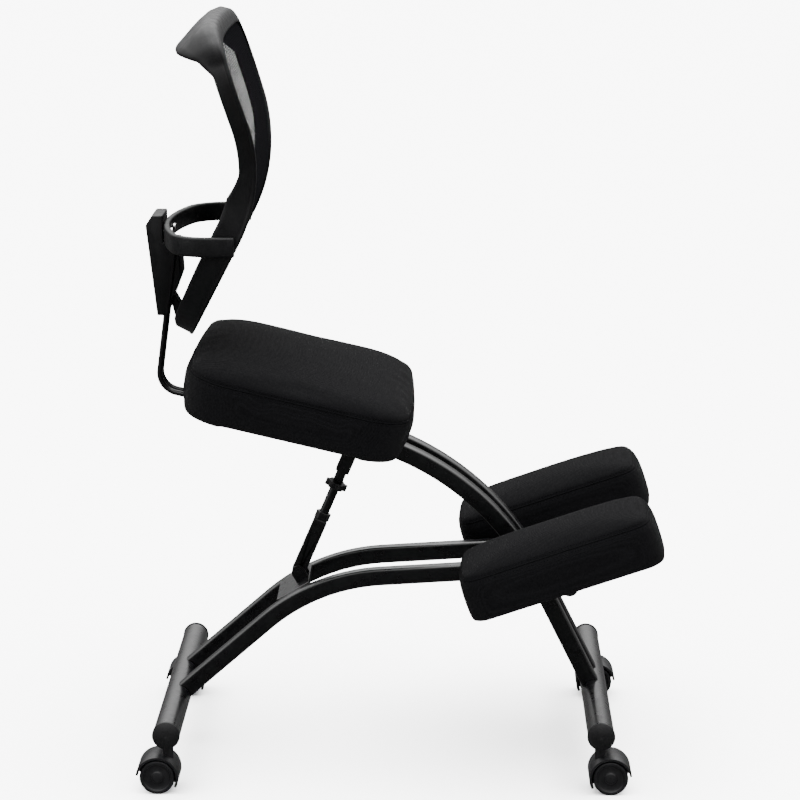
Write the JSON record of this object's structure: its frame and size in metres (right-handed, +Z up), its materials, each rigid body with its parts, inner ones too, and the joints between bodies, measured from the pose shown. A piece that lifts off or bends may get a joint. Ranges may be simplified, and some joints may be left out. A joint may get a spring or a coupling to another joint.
{
  "type": "kneeling chair",
  "caption": "Rolling kneeling chair: crossed bent-tube frames, screw strut, forward-tilted seat, twin knee pads, curved mesh backrest and swivel casters.",
  "frame": {"origin": "centre of the overall box at floor level", "axes": "+X forward, the way the sitter faces; +Y to the sitter's left; +Z up"},
  "size_m": [0.7312, 0.47, 1.0877],
  "materials": {
    "black_enamel": "glossy black powder coat",
    "zinc_steel": "bright zinc plated steel",
    "cap_plastic": "black moulded plastic, satin",
    "back_plastic": "black glass-filled nylon, fine grain, satin",
    "hood_plastic": "black moulded nylon, satin",
    "wheel_nylon": "hard black nylon wheel",
    "fabric": "black woven upholstery fabric",
    "mesh": "black open-knit back mesh",
    "plywood": "raw plywood"
  },
  "bodies": {
    "lower_frame": {"rear_crossbar": "black_enamel", "rear_bar_caps": "cap_plastic", "lower_rail_left": "black_enamel", "lower_rail_right": "black_enamel", "strut_cross_plate": "black_enamel", "strut_clevis": "black_enamel", "strut_foot_pin": "black_enamel", "knee_tube": "black_enamel", "knee_tube_caps": "cap_plastic", "pad_plates": "black_enamel", "pad_boards": "plywood", "knee_pad_left": "fabric", "knee_pad_right": "fabric", "pad_screws": "zinc_steel", "pivot_bolt": "zinc_steel", "pivot_nut": "zinc_steel", "pivot_spacers": "cap_plastic", "rear_caster_stems": "zinc_steel"},
    "seat_frame": {"front_crossbar": "black_enamel", "front_bar_caps": "cap_plastic", "upper_rail_left": "black_enamel", "upper_rail_right": "black_enamel", "pivot_sleeve": "black_enamel", "seat_plate": "black_enamel", "seat_board": "plywood", "seat_cushion": "fabric", "seat_screws": "zinc_steel", "strut_head_bracket": "black_enamel", "strut_head_pin": "black_enamel", "back_rods": "black_enamel", "rod_clamp": "black_enamel", "front_caster_stems": "zinc_steel"},
    "strut_lower": {"strut_lower_tube": "black_enamel", "strut_nut": "black_enamel"},
    "strut_upper": {"strut_upper_tube": "black_enamel"},
    "strut_spindle": {"strut_screw": "black_enamel", "hand_nut": "cap_plastic"},
    "backrest": {"back_housing": "back_plastic", "housing_cover": "back_plastic", "back_yoke": "back_plastic", "yoke_screws": "zinc_steel", "back_foot_link": "back_plastic", "back_frame": "back_plastic", "back_mesh": "mesh"},
    "caster_rl": {"caster_hood_rl": "hood_plastic", "caster_axle_rl": "zinc_steel"},
    "wheel_rl_outer": {"wheel_rl_outer": "wheel_nylon"},
    "wheel_rl_inner": {"wheel_rl_inner": "wheel_nylon"},
    "caster_rr": {"caster_hood_rr": "hood_plastic", "caster_axle_rr": "zinc_steel"},
    "wheel_rr_outer": {"wheel_rr_outer": "wheel_nylon"},
    "wheel_rr_inner": {"wheel_rr_inner": "wheel_nylon"},
    "caster_fl": {"caster_hood_fl": "hood_plastic", "caster_axle_fl": "zinc_steel"},
    "wheel_fl_outer": {"wheel_fl_outer": "wheel_nylon"},
    "wheel_fl_inner": {"wheel_fl_inner": "wheel_nylon"},
    "caster_fr": {"caster_hood_fr": "hood_plastic", "caster_axle_fr": "zinc_steel"},
    "wheel_fr_outer": {"wheel_fr_outer": "wheel_nylon"},
    "wheel_fr_inner": {"wheel_fr_inner": "wheel_nylon"}
  },
  "joints": [
    {"name": "fold", "type": "hinge", "parent": "lower_frame", "child": "seat_frame", "pos_m": [0.19556, 0, 0.285], "axis": [0, 1, 0], "range_deg": [-4, 6]},
    {"name": "strut_swing", "type": "hinge", "parent": "lower_frame", "child": "strut_lower", "pos_m": [-0.14344, 0, 0.264], "axis": [0, 1, 0], "range_deg": [-2.5, 3.5]},
    {"name": "strut_slide", "type": "slide", "parent": "strut_lower", "child": "strut_upper", "axis": [0.3976, 0, 0.9176], "range_m": [-0.022, 0.033]},
    {"name": "hand_nut_spin", "type": "hinge", "parent": "strut_upper", "child": "strut_spindle", "pos_m": [-0.14344, 0, 0.264], "axis": [0.3976, 0, 0.9176], "continuous": true},
    {"name": "back_height", "type": "slide", "parent": "seat_frame", "child": "backrest", "axis": [0.1357, 0, 0.9907], "range_m": [0, 0.05]},
    {"name": "swivel_rl", "type": "hinge", "parent": "lower_frame", "child": "caster_rl", "pos_m": [-0.32144, 0.208, 0.06], "axis": [0, 0, 1], "continuous": true},
    {"name": "spin_rl_outer", "type": "hinge", "parent": "caster_rl", "child": "wheel_rl_outer", "pos_m": [-0.33543, 0.208, 0.025], "axis": [0, 1, 0], "continuous": true},
    {"name": "spin_rl_inner", "type": "hinge", "parent": "caster_rl", "child": "wheel_rl_inner", "pos_m": [-0.33543, 0.208, 0.025], "axis": [0, 1, 0], "continuous": true},
    {"name": "swivel_rr", "type": "hinge", "parent": "lower_frame", "child": "caster_rr", "pos_m": [-0.32144, -0.208, 0.06], "axis": [0, 0, 1], "continuous": true},
    {"name": "spin_rr_outer", "type": "hinge", "parent": "caster_rr", "child": "wheel_rr_outer", "pos_m": [-0.33543, -0.208, 0.025], "axis": [0, 1, 0], "continuous": true},
    {"name": "spin_rr_inner", "type": "hinge", "parent": "caster_rr", "child": "wheel_rr_inner", "pos_m": [-0.33543, -0.208, 0.025], "axis": [0, 1, 0], "continuous": true},
    {"name": "swivel_fl", "type": "hinge", "parent": "seat_frame", "child": "caster_fl", "pos_m": [0.29457, 0.208, 0.06], "axis": [0, 0, 1], "continuous": true},
    {"name": "spin_fl_outer", "type": "hinge", "parent": "caster_fl", "child": "wheel_fl_outer", "pos_m": [0.30856, 0.208, 0.025], "axis": [0, 1, 0], "continuous": true},
    {"name": "spin_fl_inner", "type": "hinge", "parent": "caster_fl", "child": "wheel_fl_inner", "pos_m": [0.30856, 0.208, 0.025], "axis": [0, 1, 0], "continuous": true},
    {"name": "swivel_fr", "type": "hinge", "parent": "seat_frame", "child": "caster_fr", "pos_m": [0.29457, -0.208, 0.06], "axis": [0, 0, 1], "continuous": true},
    {"name": "spin_fr_outer", "type": "hinge", "parent": "caster_fr", "child": "wheel_fr_outer", "pos_m": [0.30856, -0.208, 0.025], "axis": [0, 1, 0], "continuous": true},
    {"name": "spin_fr_inner", "type": "hinge", "parent": "caster_fr", "child": "wheel_fr_inner", "pos_m": [0.30856, -0.208, 0.025], "axis": [0, 1, 0], "continuous": true}
  ],
  "couplings": [
    {"joint": "strut_swing", "follows": "fold", "ratio": 0.317},
    {"joint": "strut_slide", "follows": "fold", "m_per_rad": 0.3016}
  ]
}
